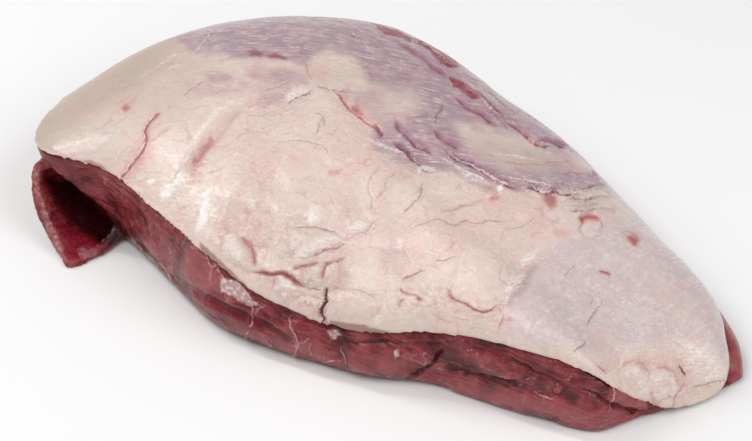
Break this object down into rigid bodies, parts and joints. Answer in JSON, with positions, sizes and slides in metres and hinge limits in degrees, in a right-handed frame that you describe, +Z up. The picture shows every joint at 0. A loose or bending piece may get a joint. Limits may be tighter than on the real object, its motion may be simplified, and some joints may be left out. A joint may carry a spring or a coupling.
{
  "type": "raw veal sirloin cap",
  "caption": "Raw trimmed veal roast lying fat side up: a domed muscle with a fat layer, a cut side and a small hanging flap of meat over a pocket.",
  "frame": {"origin": "under the middle of the piece, on the surface that it lies on", "axes": "+X from the thick end to the thin tip, -Y towards the long cut side, +Z up through the fat"},
  "size_m": [0.2702, 0.1672, 0.0525],
  "materials": {
    "meat": "raw veal muscle: moist, semi-gloss, purplish red",
    "fat": "raw fat and thin membrane: moist, semi-gloss, cream with pink and lilac"
  },
  "bodies": {
    "root": {"meat": "meat", "fat_cap": "fat"}
  },
  "joints": []
}
